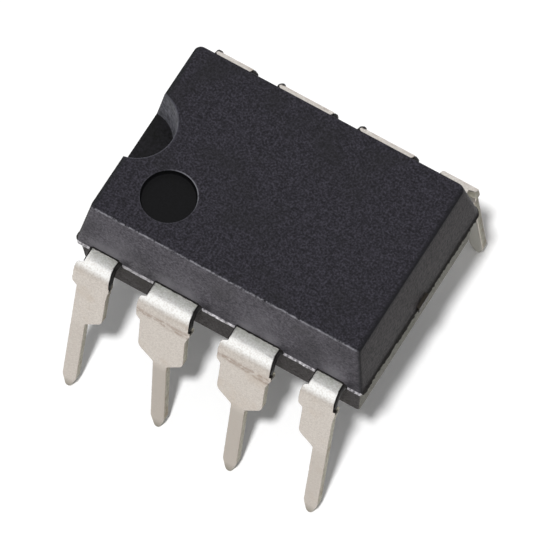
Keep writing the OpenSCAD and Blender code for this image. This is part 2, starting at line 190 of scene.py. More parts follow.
def pinch_at(number, u, w):
    """Depth of the former's marks at a point of the leg, and how strongly they show."""
    depth_here, mark = 0.0, 0.0
    for below, slope, depth, width in pinches.get(number, ()):
        line = below + slope * u + 0.02 * noise.noise(Vector((u * 4, number, below * 40)))
        fall = math.exp(-((w - line) / width) ** 2) * (0.55 + 0.6 * noise.noise(Vector((u * 3, number, 4))))
        haze = 0.45 * math.exp(-((w - line) / (3.2 * width)) ** 2) if number < 5 else 0.0
        mark = max(mark, fall, haze)
        depth_here += depth * fall
    return depth_here, mark


def lead_edges(number):
    """The points of a lead's left and right edges, and the length of its leg from bend to tip."""
    course = course_of(number)
    left_w, right_w = half_widths(number)
    splay, lean, kink, offset = (course[key] for key in ("splay", "lean", "kink", "offset"))
    stub_from, leg_from = course["stub"], course["leg"]
    drop = bend_middle * (1 - math.sin(splay))
    corner = sheet / 2 * math.sin(splay - kink) + tip_half * math.sin(abs(lean))
    pin_run = ((parting_height - drop - shoulder_end * math.cos(splay) * math.cos(lean) - corner)
               / (math.cos(splay - kink) * math.cos(lean)))
    leg_run = shoulder_end + pin_run

    left, right = finger_sides((number - 1) % 4)
    tip = [(leg_run - tip_length - 0.05, pin_half), (leg_run - tip_length + 0.05, pin_half - 0.012),
           (leg_run - 0.1, tip_half + 0.04), (leg_run - 0.03, tip_half + 0.012), (leg_run, tip_half - 0.02)]
    left_leg = leg_side(left_w, -offset, stub_ends[0]) + tip
    right_leg = leg_side(right_w, offset, stub_ends[1]) + tip
    left += [(stub_from, -left_w[0]), (stub_from + 0.04, -left_w[1] + 0.03), (stub_from + 0.09, -left_w[1])]
    left += [(leg_from, -left_w[1])] + [(leg_from + w, -u) for w, u in left_leg]
    if number < 5:
        right += [(flare_start, right_w[0]), (leg_from, right_w[0] + flare)]
    else:
        right += [(stub_from - 0.03, right_w[0]), (stub_from + 0.09, right_w[1]), (leg_from, right_w[1])]
    right += [(leg_from + w, u) for w, u in right_leg]
    return left, right, leg_run


def form_lead(number):
    """A lead as a mesh: rounded cross-sections along the flat strip, bent to shape as they are made."""
    course = course_of(number)
    place = (number - 1) % 4
    flat, stub_from, leg_from = course["flat"], course["stub"], course["leg"]
    left, right, leg_run = lead_edges(number)
    stations = {round(v, 5) for v, _ in left + right}
    stations |= {v - 0.0005 for v, _ in left + right if v < 0}
    stations |= {course["flat"] + bend_middle * course["turn"] * i / 24 for i in range(25)}
    stations |= {leg_from + leg_run * i / 110 for i in range(110)}
    stations |= {leg_from + joint}
    stations |= {flat * i / 8 for i in range(9)}
    first, last = left[0][0], leg_from + leg_run
    stations = sorted(v for v in stations if first <= v <= last - 0.004) + [last]

    section, roll, burr = strip_section()
    toward_plain_end = 1 if number < 5 else -1
    shape = bmesh.new()
    layers = {name: shape.verts.layers.float.new(name) for name in wear_and_light_layers}
    rings = []
    for v in stations:
        w = v - leg_from
        ul, ur = edge_at(left, v), edge_at(right, v)
        if v > 0:
            shake = 0.012 if stub_from < v < leg_from + sum(stub_ends[0]) else 0.005
            ul += shake * noise.noise(Vector((v * 9, number * 3.1, 0.3)))
            ur += shake * noise.noise(Vector((v * 9, number * 3.1, 9.7)))
        ring = []
        for side, d, t in section:
            u = ul + d if side < 0 else ur - d if side > 0 else ul + roll + (ur - ul - 2 * roll) * d
            if side == 0 and t < 0:
                u = ul + burr + (ur - ul - 2 * burr) * d
            depth, mark = pinch_at(number, u, w) if w > -0.4 else (0.0, 0.0)
            t -= depth
            if t > 0 and v > flat:
                t += 0.0025 * noise.noise(Vector((u * 2.2, v * 2.2, number * 5.0)))
            point = shape.verts.new(Vector(((place - 1.5) * lead_pitch, 0, 0)) + on_lead(course, u, v, t))
            sheared = side and abs(t) < sheet / 2 - 0.02
            point[layers["stain"]] = mark
            rolled = 0 < sheet / 2 - 0.4 * roll - t < 0.7 * roll
            point[layers["edge"]] = 1.0 if side == toward_plain_end and w > 0 and rolled else 0.0
            # Near-black on the sheared sides close to the body; along all of lead 5's sheared sides a lighter painted
            # shade
            darkened_sides = 0.38 if number == 5 else 1.0 if w < 0.12 else 0.0
            point[layers["darkened_sides"]] = darkened_sides if sheared else 0.0
            point[layers["down"]] = min(max(w / leg_run, 0.0), 1.0)
            point[layers["bend"]] = min(max(v / leg_from, 0.0 if number < 5 else 0.765), 1.0)
            low_down = min(max((w - shoulder_end + 0.2) / 0.4, 0.0), 1.0)
            # Darker pins towards the tip: dull tin and painted shade
            point[layers["darker_pin"]] = pin_darkening.get(number, 0.5) * low_down
            # Lower faces marked for painted light from the floor below
            point[layers["under"]] = 1.0 if not side and t < 0 else 0.0
            ring.append(point)
        rings.append(ring)
    for a, b in zip(rings, rings[1:]):
        for i in range(len(section)):
            j = (i + 1) % len(section)
            face = shape.faces.new((a[i], a[j], b[j], b[i]))
            (side, d, _), (next_side, next_d, _) = section[i], section[j]
            face.material_index = 1 if side and side == next_side and max(d, next_d) < 1e-6 else 0
    shape.faces.new(reversed(rings[0]))
    shape.faces.new(rings[-1])
    bmesh.ops.recalc_face_normals(shape, faces=shape.faces)
    return finished_mesh("lead_%d_formed" % number, shape, number > 4, 40)


def finished_mesh(name, shape, back_row, sharp_above):
    """Takes a bmesh drawn about the body's centre into the frame, as an object in the scene."""
    turn_row = Matrix.Rotation(math.pi if back_row else 0, 4, "Z")
    stand = Matrix.Translation(Vector((0, row_centre, parting_height)))
    bmesh.ops.transform(shape, matrix=Matrix.Scale(mm, 4) @ stand @ turn_row, verts=shape.verts)
    mesh = bpy.data.meshes.new(name)
    shape.to_mesh(mesh)
    shape.free()
    mesh.polygons.foreach_set("use_smooth", [True] * len(mesh.polygons))
    mesh.set_sharp_from_angle(angle=math.radians(sharp_above))
    piece = bpy.data.objects.new(name, mesh)
    bpy.context.collection.objects.link(piece)
    return piece


def add(tree, kind, at, **settings):
    """A node in a tree, placed by column and row, with its settings and its sockets' values."""
    made = tree.nodes.new(kind)
    made.location = (at[0] * 220, -at[1] * 220)
    for key, value in settings.items():
        if key in made.inputs:
            made.inputs[key].default_value = value
        else:
            setattr(made, key, value)
    return made


def effect(name, sockets_in, sockets_out):
    """An empty shader node group with named inputs (with their values) and outputs."""
    group = bpy.data.node_groups.new(name, "ShaderNodeTree")
    for label, kind, value in sockets_in:
        socket = group.interface.new_socket(label, in_out="INPUT", socket_type=kind)
        if value is not None:
            socket.default_value = value
    for label, kind in sockets_out:
        group.interface.new_socket(label, in_out="OUTPUT", socket_type=kind)
    return group, add(group, "NodeGroupInput", (-6, 0)), add(group, "NodeGroupOutput", (6, 0))


def place_effect(tree, group, at, **values):
    """A node group placed in a material, with its own values in the named sockets."""
    made = tree.nodes.new("ShaderNodeGroup")
    made.node_tree = group
    made.location = (at[0] * 220, -at[1] * 220)
    for key, value in values.items():
        made.inputs[key].default_value = value
    return made


def arithmetic(tree, at, operation, first, second):
    """A Math node; each of its two inputs is a socket or a number."""
    made = add(tree, "ShaderNodeMath", at, operation=operation)
    for socket, value in zip(made.inputs, (first, second)):
        if isinstance(value, bpy.types.NodeSocket):
            tree.links.new(value, socket)
        else:
            socket.default_value = value
    return made.outputs[0]


def remap(tree, at, value, low, high, to_low=0.0, to_high=1.0, smooth=False):
    """Takes a value from one range to another, clamped."""
    made = add(tree, "ShaderNodeMapRange", at, interpolation_type="SMOOTHSTEP" if smooth else "LINEAR")
    for key, number in (("From Min", low), ("From Max", high), ("To Min", to_low), ("To Max", to_high)):
        made.inputs[key].default_value = number
    tree.links.new(value, made.inputs["Value"])
    return made.outputs["Result"]


def tone(value):
    """A grey or an (r, g, b) from 0 to 255 in sRGB as a linear colour."""
    values = (value,) * 3 if isinstance(value, (int, float)) else value
    return tuple((c / 255 / 12.92) if c <= 10 else ((c / 255 + 0.055) / 1.055) ** 2.4 for c in values) + (1,)


def blend_tone(tree, at, base, over, mask):
    """Lays a tone over a colour where the mask is; base is a colour socket or a tone."""
    made = add(tree, "ShaderNodeMix", at, data_type="RGBA")
    made.inputs[7].default_value = tone(over)
    tree.links.new(mask, made.inputs[0])
    if isinstance(base, bpy.types.NodeSocket):
        tree.links.new(base, made.inputs[6])
    else:
        made.inputs[6].default_value = tone(base)
    return made.outputs[2]


FLOAT, VECTOR = "NodeSocketFloat", "NodeSocketVector"

# Grain: cells of fine noise at a size given in millimetres, with a slower drift over them
grain, given, wanted = effect("surface grain", [("Vector", VECTOR, None), ("Grain", FLOAT, 0.05), ("Drift", FLOAT, 1.0)],
                              [("Fine", FLOAT), ("Slow", FLOAT)])
for row, (size, result, detail) in enumerate((("Grain", "Fine", 3.0), ("Drift", "Slow", 2.0))):
    cells = add(grain, "ShaderNodeTexNoise", (-1, row), Detail=detail, Roughness=0.6)
    grain.links.new(arithmetic(grain, (-3, row), "DIVIDE", 1 / mm, given.outputs[size]), cells.inputs["Scale"])
    grain.links.new(given.outputs["Vector"], cells.inputs["Vector"])
    grain.links.new(cells.outputs["Fac"], wanted.inputs[result])


def new_material(name, roughness=None, metallic=0.0, specular=0.5):
    """A node material: its tree, its shader, the object's own coordinates and, last, itself."""
    made = bpy.data.materials.new(name)
    made.use_nodes = True
    shader = made.node_tree.nodes["Principled BSDF"]
    shader.inputs["Metallic"].default_value = metallic
    shader.inputs["Specular IOR Level"].default_value = specular
    if roughness is not None:
        shader.inputs["Roughness"].default_value = roughness
    where = add(made.node_tree, "ShaderNodeTexCoord", (-8, 0)).outputs["Object"]
    return made.node_tree, shader, where, made


def rough_up(tree, shader, height, depth, strength=1.0):
    """A bump from a height socket, its depth in millimetres, into the shader's normal."""
    bump = add(tree, "ShaderNodeBump", (-2, 4), Strength=strength, Distance=depth * mm)
    tree.links.new(height, bump.inputs["Height"])
    tree.links.new(bump.outputs["Normal"], shader.inputs["Normal"])


def tin_plate():
    """Satin tin over copper alloy: warm grey and finely speckled, worn and with painted shade at the tip,
    browned where the tool pinched it, and olive where the shear left it bare. Painted shade darkens it
    near the body and on the darker pins, which are partly dull; a painted highlight whitens it from the
    body over the bend, a painted glint lines its exit and painted light lightens its lower faces."""
    tree, shader, where, made = new_material("tin plate", metallic=1.0)
    marks = {name: add(tree, "ShaderNodeAttribute", (-8, 2 + i), attribute_name=name).outputs["Fac"]
             for i, name in enumerate(wear_and_light_layers)}
    speckle = place_effect(tree, grain, (-7, 0), Grain=0.05, Drift=0.45)
    patches = place_effect(tree, grain, (-7, 1), Grain=0.16, Drift=0.9)
    for group in (speckle, patches):
        tree.links.new(where, group.inputs["Vector"])
    pale = remap(tree, (-6, 0), speckle.outputs["Fine"], 0.36, 0.64)
    colour = blend_tone(tree, (-5, 0), (186, 178, 170), (206, 199, 191), pale)
    warm = remap(tree, (-6, 3), patches.outputs["Slow"], 0.56, 0.75, 0.0, 0.35)
    colour = blend_tone(tree, (-5, 1), colour, (178, 160, 140), warm)
    # Darker pins: dull tin and painted shade
    colour = blend_tone(tree, (-4, 0), colour, (174, 166, 157), marks["darker_pin"])
    # Darker at the very tip: wear and a painted contact shade where it meets the floor
    worn_and_shaded_tip = remap(tree, (-6, 2), marks["down"], 0.93, 1.0, 0.0, 0.8)
    colour = blend_tone(tree, (-3, 0), colour, (122, 118, 106), worn_and_shaded_tip)
    broken = remap(tree, (-6, 4), patches.outputs["Fine"], 0.36, 0.52)
    crease = arithmetic(tree, (-5, 4), "MULTIPLY", marks["stain"], broken)
    colour = blend_tone(tree, (-1, 0), colour, (118, 88, 64), crease)
    # Painted highlight: near-white in specks from the body over the first part of the bend, where the soft box shows
    up_to_bend = remap(tree, (-6, 6), marks["bend"], 0.62, 0.84, 1.0, 0.0, smooth=True)
    bright = remap(tree, (-6, 7), speckle.outputs["Fine"], 0.38, 0.56, 0.6, 1.0)
    painted_highlight = arithmetic(tree, (-5, 6), "MULTIPLY", up_to_bend, bright)
    colour = blend_tone(tree, (0, 1), colour, (236, 236, 234), painted_highlight)
    # Painted shade: greener and darker in patches near the body, where the flat reflects the body's dark side
    near_body = remap(tree, (-6, 8), marks["bend"], 0.0, 0.45, 0.75, 0.0)
    painted_shade_near_body = arithmetic(tree, (-5, 8), "MULTIPLY", near_body,
                         remap(tree, (-6, 9), patches.outputs["Fine"], 0.38, 0.62, 0.3, 1.0))
    colour = blend_tone(tree, (0, 2), colour, (176, 181, 164), painted_shade_near_body)
    # Painted glint: a broken light line where the tin leaves the body
    painted_exit_glint = arithmetic(tree, (-5, 9), "MULTIPLY", remap(tree, (-6, 10), marks["bend"], 0.03, 0.11, 0.9, 0.0),
                             remap(tree, (-6, 11), patches.outputs["Slow"], 0.42, 0.56))
    colour = blend_tone(tree, (0, 3), colour, (226, 224, 218), painted_exit_glint)
    # Painted light: the lower faces lighter, for the light of the white floor below them
    colour = blend_tone(tree, (0, 4), colour, (216, 214, 205), marks["under"])
    burr = arithmetic(tree, (-5, 5), "MULTIPLY", marks["edge"],
                      remap(tree, (-6, 5), patches.outputs["Fine"], 0.38, 0.62, 0.35, 0.85))
    colour = blend_tone(tree, (1, 0), colour, (118, 106, 86), burr)
    # Near-black by the body and painted shade along lead 5, where the sheared sides meet the tin
    colour = blend_tone(tree, (2, 0), colour, (34, 31, 28), marks["darkened_sides"])
    tree.links.new(colour, shader.inputs["Base Color"])
    tree.links.new(remap(tree, (-5, 3), speckle.outputs["Fine"], 0.3, 0.7, 0.28, 0.4), shader.inputs["Roughness"])
    rough_up(tree, shader, speckle.outputs["Fine"], 0.008)
    return made


def sheared_alloy():
    """The strip's sheared sides: the bare alloy, gone grey-olive, near-black close to the body, and darker along lead
    5 as painted shade.
    """
    tree, shader, where, made = new_material("sheared alloy", roughness=0.6, specular=0.1)
    torn = place_effect(tree, grain, (-7, 0), Grain=0.09, Drift=0.5)
    tree.links.new(where, torn.inputs["Vector"])
    colour = blend_tone(tree, (-4, 0), (166, 162, 147), (194, 189, 174),
                        remap(tree, (-5, 0), torn.outputs["Fine"], 0.36, 0.64))
    browned = remap(tree, (-5, 1), torn.outputs["Slow"], 0.52, 0.7, 0.0, 0.5)
    colour = blend_tone(tree, (-3, 0), colour, (128, 104, 78), browned)
    darkened_sides = add(tree, "ShaderNodeAttribute", (-5, 2), attribute_name="darkened_sides").outputs["Fac"]
    colour = blend_tone(tree, (-2, 0), colour, (34, 31, 28), darkened_sides)
    tree.links.new(colour, shader.inputs["Base Color"])
    rough_up(tree, shader, torn.outputs["Fine"], 0.01)
    return made


finishes = (tin_plate(), sheared_alloy())
for number in forming:
    lead = form_lead(number)
    for finish in finishes:
        lead.data.materials.append(finish)
    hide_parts("lead_%d" % number)
    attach(lead, "root")

# Die paddle. A plate of the same strip under the die, set down by two ramps, with the tie bars that
# held it. The resin hides it, but for the tie bars' cut ends, which are painted dark grey, for tarnish
# and painted shade together.
tie_bare_from = 4.4


def tarnished_copper():
    tree, shader, where, made = new_material("copper alloy", metallic=1.0)
    bloom = place_effect(tree, grain, (-7, 0), Grain=0.08, Drift=0.6)
    tree.links.new(where, bloom.inputs["Vector"])
    colour = blend_tone(tree, (-4, 0), (214, 158, 122), (176, 118, 86),
                        remap(tree, (-5, 0), bloom.outputs["Slow"], 0.35, 0.65))
    split = add(tree, "ShaderNodeSeparateXYZ", (-7, 2))
    tree.links.new(where, split.inputs[0])
    along = arithmetic(tree, (-6, 2), "ABSOLUTE", split.outputs["X"], 0.0)
    # Painted dark grey where the tie bars come out: tarnish and painted shade
    bare = remap(tree, (-5, 2), along, tie_bare_from * mm, (tie_bare_from + 0.04) * mm)
    colour = blend_tone(tree, (-3, 0), colour, (62, 58, 53), bare)
    tree.links.new(colour, shader.inputs["Base Color"])
    tree.links.new(remap(tree, (-5, 1), bloom.outputs["Fine"], 0.3, 0.7, 0.35, 0.6), shader.inputs["Roughness"])
    rough_up(tree, shader, bloom.outputs["Fine"], 0.01)
    return made


def dress(name, material):
    """Gives a node that keeps its own mesh its finish."""
    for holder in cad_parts[name].material_slots:
        holder.material = material


dress("die_paddle", tarnished_copper())

# Die and its adhesive. A square of polished silicon with its circuit's blocks on top, held on the
# paddle by a film of epoxy filled with silver flakes.
block_size = 0.19


def silicon_chip():
    tree, shader, where, made = new_material("silicon", metallic=0.6)
    blocks = add(tree, "ShaderNodeTexBrick", (-5, 0), Scale=1 / mm)
    blocks.inputs["Brick Width"].default_value = block_size * 2
    blocks.inputs["Row Height"].default_value = block_size
    blocks.inputs["Mortar Size"].default_value = 0.02
    blocks.inputs["Color1"].default_value = tone((96, 104, 128))
    blocks.inputs["Color2"].default_value = tone((124, 112, 138))
    blocks.inputs["Mortar"].default_value = tone((182, 176, 160))
    tree.links.new(where, blocks.inputs["Vector"])
    tree.links.new(blocks.outputs["Color"], shader.inputs["Base Color"])
    haze = place_effect(tree, grain, (-5, 2), Grain=0.03, Drift=0.4)
    tree.links.new(where, haze.inputs["Vector"])
    tree.links.new(remap(tree, (-4, 2), haze.outputs["Fine"], 0.3, 0.7, 0.1, 0.22), shader.inputs["Roughness"])
    return made


def silver_epoxy():
    tree, shader, where, made = new_material("silver epoxy", metallic=0.7)
    flakes = place_effect(tree, grain, (-5, 0), Grain=0.02, Drift=0.3)
    tree.links.new(where, flakes.inputs["Vector"])
    colour = blend_tone(tree, (-3, 0), (150, 150, 154), (206, 206, 208),
                        remap(tree, (-4, 0), flakes.outputs["Fine"], 0.4, 0.6))
    tree.links.new(colour, shader.inputs["Base Color"])
    tree.links.new(remap(tree, (-4, 1), flakes.outputs["Slow"], 0.3, 0.7, 0.4, 0.6), shader.inputs["Roughness"])
    rough_up(tree, shader, flakes.outputs["Fine"], 0.004)
    return made


dress("silicon_die", silicon_chip())
dress("die_attach", silver_epoxy())

# Bond wires. Eight drawn gold wires, each welded as a ball on the die and pressed as a stitch on its
# lead's finger.


def drawn_gold():
    tree, shader, where, made = new_material("gold wire", metallic=1.0)
    draw = place_effect(tree, grain, (-5, 0), Grain=0.02, Drift=0.3)
    tree.links.new(where, draw.inputs["Vector"])
    colour = blend_tone(tree, (-3, 0), (242, 196, 96), (224, 172, 78),
                        remap(tree, (-4, 0), draw.outputs["Slow"], 0.35, 0.65))
    tree.links.new(colour, shader.inputs["Base Color"])
    tree.links.new(remap(tree, (-4, 1), draw.outputs["Fine"], 0.3, 0.7, 0.15, 0.3), shader.inputs["Roughness"])
    return made


gold = drawn_gold()
for number in forming:
    dress("bond_wire_%d" % number, gold)

# Moulded body. Black epoxy resin pressed round the strip in a two-part tool, whose halves meet at the
# leads. It has the tool's spark-eroded grain, a keying notch, a dimple beside lead 1, the marks of
# two ejector pins, and edges that the bins and rails of its travels have rubbed pale. Its faces are
# painted in tones for the light each one gets, with painted highlights round the rims and painted
# shade along some edges and in the hollows.
half_length = 4.48
upper_height, lower_height = 1.77, 1.53
end_slope, side_slope, lower_slope = (math.tan(math.radians(a)) for a in (9.4, 11.3, 4.2))
lower_inset = 0.05
corner_radii = (0.16, 0.08, 0.22, 0.2)
corner_signs = ((-1, -1), (1, -1), (1, 1), (-1, 1))
corner_steps, side_steps = 6, (150, 104, 150, 104)
edge_round = 0.03
notch_x, notch_radius, notch_floor, notch_depth = -4.40, 1.09, 0.96, 1.2
dimple_x, dimple_y, dimple_radius, dimple_depth = -2.52, -1.485, 0.77, 0.18
ejector_x, ejector_radius, ejector_depth = 2.7, 0.85, 0.08
top_x, top_y = half_length - upper_height * end_slope, body_half_width - upper_height * side_slope


def outline_at(half_x, half_y):
    """Points round the body at one height, the same number at each, from the front left corner on."""
    corners = []
    for (sx, sy), r in zip(corner_signs, corner_radii):
        start = math.atan2(sy, sx) - math.pi / 4
        angles = [start + math.pi / 2 * i / corner_steps for i in range(corner_steps + 1)]
        corners.append([Vector((sx * (half_x - r) + r * math.cos(a), sy * (half_y - r) + r * math.sin(a), 0))
                        for a in angles])
    points = []
    for k, steps in enumerate(side_steps):
        begin, end = corners[k][-1], corners[(k + 1) % 4][0]
        points += corners[k] + [begin.lerp(end, i / steps) for i in range(1, steps)]
    return points


def body_levels():
    """Height and half sizes of each ring, from the rim of the top face down to the underside."""
    levels = []
    for i in range(4):
        a = math.pi / 2 * i / 3
        inset, down = edge_round * (1 - math.sin(a)), edge_round * (1 - math.cos(a))
        levels.append((upper_height - down, top_x - inset + down * end_slope, top_y - inset + down * side_slope))
    levels += [(0.0, half_length, body_half_width),
               (-0.004, half_length - lower_inset, body_half_width - lower_inset)]
    for i in range(3):
        a = math.pi / 2 * i / 2
        z, inset = -lower_height + edge_round * (1 - math.sin(a)), edge_round * (1 - math.cos(a))
        narrow = lower_inset - z * lower_slope + inset
        levels.append((z, half_length - narrow, body_half_width - narrow))
    return levels


def body_shell():
    """The outer skin, ring by ring."""
    shape = bmesh.new()
    built = [[shape.verts.new((p.x, p.y, z)) for p in outline_at(x, y)] for z, x, y in body_levels()]
    for a, b in zip(built, built[1:]):
        for i in range(len(a)):
            j = (i + 1) % len(a)
            shape.faces.new((a[i], b[i], b[j], a[j]))
    shape.faces.new(built[0])
    shape.faces.new(reversed(built[-1]))
    bmesh.ops.recalc_face_normals(shape, faces=shape.faces)
    mesh = bpy.data.meshes.new("moulded_body")
    shape.to_mesh(mesh)
    shape.free()
    made = bpy.data.objects.new("moulded_body", mesh)
    bpy.context.collection.objects.link(made)
    return made


def turned(name, profile, centre, segments=96):
    """A closed solid of revolution from (radius, height) points, as a tool for cutting the body."""
    shape = bmesh.new()
    rings = [[shape.verts.new((centre[0] + r * math.cos(2 * math.pi * i / segments),
                               centre[1] + r * math.sin(2 * math.pi * i / segments), z))
              for i in range(segments)] for r, z in profile]
    for a, b in zip(rings, rings[1:]):
        for i in range(segments):
            j = (i + 1) % segments
            shape.faces.new((a[i], a[j], b[j], b[i]))
    shape.faces.new(reversed(rings[0]))
    shape.faces.new(rings[-1])
    bmesh.ops.recalc_face_normals(shape, faces=shape.faces)
    mesh = bpy.data.meshes.new(name)
    shape.to_mesh(mesh)
    shape.free()
    tool = bpy.data.objects.new(name, mesh)
    bpy.context.collection.objects.link(tool)
    return tool


body = body_shell()
top, foot = upper_height, upper_height - notch_depth
growth = (notch_radius - notch_floor) / notch_depth
notch_profile = [(notch_floor - 0.05, foot), (notch_floor - 0.015, foot + 0.01), (notch_floor, foot + 0.04),
                 (notch_radius - 0.03 * growth, top - 0.03), (notch_radius + 0.008, top - 0.01),
                 (notch_radius + 0.03, top + 0.001), (notch_radius + 0.08, top + 0.3)]
floor_z = top - dimple_depth
dimple_profile = [(dimple_radius - 0.09, floor_z), (dimple_radius - 0.035, floor_z + 0.012),
                  (dimple_radius - 0.008, floor_z + 0.05), (dimple_radius, top - 0.03),
                  (dimple_radius + 0.008, top - 0.01), (dimple_radius + 0.028, top + 0.001),
                  (dimple_radius + 0.06, top + 0.3)]
pin_profile = [(ejector_radius - 0.03, ejector_depth - lower_height),
               (ejector_radius, ejector_depth - 0.02 - lower_height), (ejector_radius + 0.01, -lower_height - 0.3)]
tools = [turned("notch_tool", notch_profile, (notch_x, 0)),
         turned("dimple_tool", dimple_profile, (dimple_x, dimple_y)),
         turned("ejector_tool_1", pin_profile, (-ejector_x, 0)), turned("ejector_tool_2", pin_profile, (ejector_x, 0))]
for tool in tools:
    cutting = body.modifiers.new(tool.name, "BOOLEAN")
    cutting.object = tool
    cutting.operation = "DIFFERENCE"
    cutting.solver = "EXACT"
bpy.context.view_layer.update()
cut_mesh = bpy.data.meshes.new_from_object(body.evaluated_get(bpy.context.evaluated_depsgraph_get()))
body.modifiers.clear()
body.data = cut_mesh
for tool in tools:
    bpy.data.objects.remove(tool)

# Effects round a straight edge and round a rim: 1 on it, falling to 0 at the width given
beside_line, given, wanted = effect(
    "beside a line", [("Vector", VECTOR, None), ("Point", VECTOR, None), ("Direction", VECTOR, None),
                      ("Width", FLOAT, 0.00005), ("Waver", FLOAT, 0.0)], [("Mask", FLOAT)])
drift = add(beside_line, "ShaderNodeTexNoise", (-8, 1), Detail=2.0, Scale=1 / (0.13 * mm))
centred = add(beside_line, "ShaderNodeVectorMath", (-7, 1), operation="SUBTRACT")
centred.inputs[1].default_value = (0.5, 0.5, 0.5)
wavering = add(beside_line, "ShaderNodeVectorMath", (-6, 1), operation="SCALE")
moved = add(beside_line, "ShaderNodeVectorMath", (-5, 1), operation="ADD")
away = add(beside_line, "ShaderNodeVectorMath", (-4, 0), operation="SUBTRACT")
beside_line.links.new(given.outputs["Vector"], drift.inputs["Vector"])
beside_line.links.new(drift.outputs["Color"], centred.inputs[0])
beside_line.links.new(centred.outputs[0], wavering.inputs[0])
beside_line.links.new(given.outputs["Waver"], wavering.inputs["Scale"])
beside_line.links.new(given.outputs["Vector"], moved.inputs[0])
beside_line.links.new(wavering.outputs[0], moved.inputs[1])
across = add(beside_line, "ShaderNodeVectorMath", (-3, 0), operation="CROSS_PRODUCT")
distance = add(beside_line, "ShaderNodeVectorMath", (-2, 0), operation="LENGTH")
beside_line.links.new(moved.outputs[0], away.inputs[0])
beside_line.links.new(given.outputs["Point"], away.inputs[1])
beside_line.links.new(away.outputs[0], across.inputs[0])
beside_line.links.new(given.outputs["Direction"], across.inputs[1])
beside_line.links.new(across.outputs[0], distance.inputs[0])
share = arithmetic(beside_line, (-1, 0), "DIVIDE", distance.outputs["Value"], given.outputs["Width"])
beside_line.links.new(remap(beside_line, (0, 0), share, 0.0, 1.0, 1.0, 0.0, smooth=True), wanted.inputs["Mask"])

beside_rim, given, wanted = effect(
    "beside a rim", [("Vector", VECTOR, None), ("Centre", VECTOR, None), ("Radius", FLOAT, 0.001),
                     ("Width", FLOAT, 0.00005), ("Toward", VECTOR, None)], [("Mask", FLOAT)])
away = add(beside_rim, "ShaderNodeVectorMath", (-5, 0), operation="SUBTRACT")
split = add(beside_rim, "ShaderNodeSeparateXYZ", (-4, 0))
beside_rim.links.new(given.outputs["Vector"], away.inputs[0])
beside_rim.links.new(given.outputs["Centre"], away.inputs[1])
beside_rim.links.new(away.outputs[0], split.inputs[0])
square_x = arithmetic(beside_rim, (-3, 0), "MULTIPLY", split.outputs["X"], split.outputs["X"])
square_y = arithmetic(beside_rim, (-3, 1), "MULTIPLY", split.outputs["Y"], split.outputs["Y"])
radial = arithmetic(beside_rim, (-2, 0), "POWER", arithmetic(beside_rim, (-3, 2), "ADD", square_x, square_y), 0.5)
outside = arithmetic(beside_rim, (-1, 0), "SUBTRACT", radial, given.outputs["Radius"])
square_r = arithmetic(beside_rim, (0, 0), "MULTIPLY", outside, outside)
square_z = arithmetic(beside_rim, (0, 1), "MULTIPLY", split.outputs["Z"], split.outputs["Z"])
distance = arithmetic(beside_rim, (1, 0), "POWER", arithmetic(beside_rim, (0, 2), "ADD", square_r, square_z), 0.5)
share = arithmetic(beside_rim, (2, 0), "DIVIDE", distance, given.outputs["Width"])
# With a direction given, only that side of the rim shows
facing = add(beside_rim, "ShaderNodeVectorMath", (-4, 4), operation="DOT_PRODUCT")
beside_rim.links.new(away.outputs[0], facing.inputs[0])
beside_rim.links.new(given.outputs["Toward"], facing.inputs[1])
asked = add(beside_rim, "ShaderNodeVectorMath", (-4, 5), operation="LENGTH")
beside_rim.links.new(given.outputs["Toward"], asked.inputs[0])
turned_by = arithmetic(beside_rim, (-2, 4), "SUBTRACT",
                       arithmetic(beside_rim, (-3, 4), "DIVIDE", facing.outputs["Value"], given.outputs["Radius"]),
                       asked.outputs["Value"])
seen = remap(beside_rim, (-1, 4), turned_by, -0.5, -0.08)
beside_rim.links.new(
    arithmetic(beside_rim, (4, 0), "MULTIPLY", seen,
               remap(beside_rim, (3, 0), share, 0.0, 1.0, 1.0, 0.0, smooth=True)), wanted.inputs["Mask"])


def in_frame(x, y, z):
    """A place given about the body's centre at the parting line, in the frame's metres."""
    return Vector((x, y + row_centre, z + parting_height)) * mm


def front_spot(x, height):
    """A place on the front slope, as the centre of a soft round mark."""
    inset = (body_half_width - top_y) * height / upper_height
    return dict(Centre=in_frame(x, inset - body_half_width, height), Radius=0.0)


front_top_edge = dict(Point=in_frame(0, -top_y, upper_height), Direction=(1, 0, 0), Waver=0.05 * mm)
left_top_edge = dict(Point=in_frame(-top_x, 0, upper_height), Direction=(0, 1, 0))
plain_top_edge = dict(Point=in_frame(top_x, 0, upper_height), Direction=(0, 1, 0))
front_parting_edge = dict(Point=in_frame(0, -body_half_width, 0), Direction=(1, 0, 0))
plain_parting_edge = dict(Point=in_frame(half_length, 0, 0), Direction=(0, 1, 0))
mitre = dict(Point=in_frame(half_length, -body_half_width, 0),
             Direction=Vector((top_x - half_length, body_half_width - top_y, upper_height)).normalized())
notch_rim = dict(Centre=in_frame(notch_x, 0, upper_height), Radius=(notch_radius + 0.01) * mm)
notch_foot = dict(Centre=in_frame(notch_x, 0, upper_height - notch_depth), Radius=notch_floor * mm)
dimple_rim = dict(Centre=in_frame(dimple_x, dimple_y, upper_height), Radius=(dimple_radius + 0.01) * mm)

# Lines on the resin: where, width in millimetres, tone, strength and how broken they are; a negative
# last value breaks them into broad patches instead
scuffed = (front_top_edge, 0.05, (146, 145, 151), 0.95, 0.38)
# Along the front parting ledge: scuffed, with painted light where light falls on its upper side
lit_ledge = (front_parting_edge, 0.06, (150, 148, 153), 0.8, 0.42)
# Paler in broad patches along the foot of the front slope
pale_foot = (front_parting_edge, 0.75, (122, 119, 124), 0.6, -0.48)
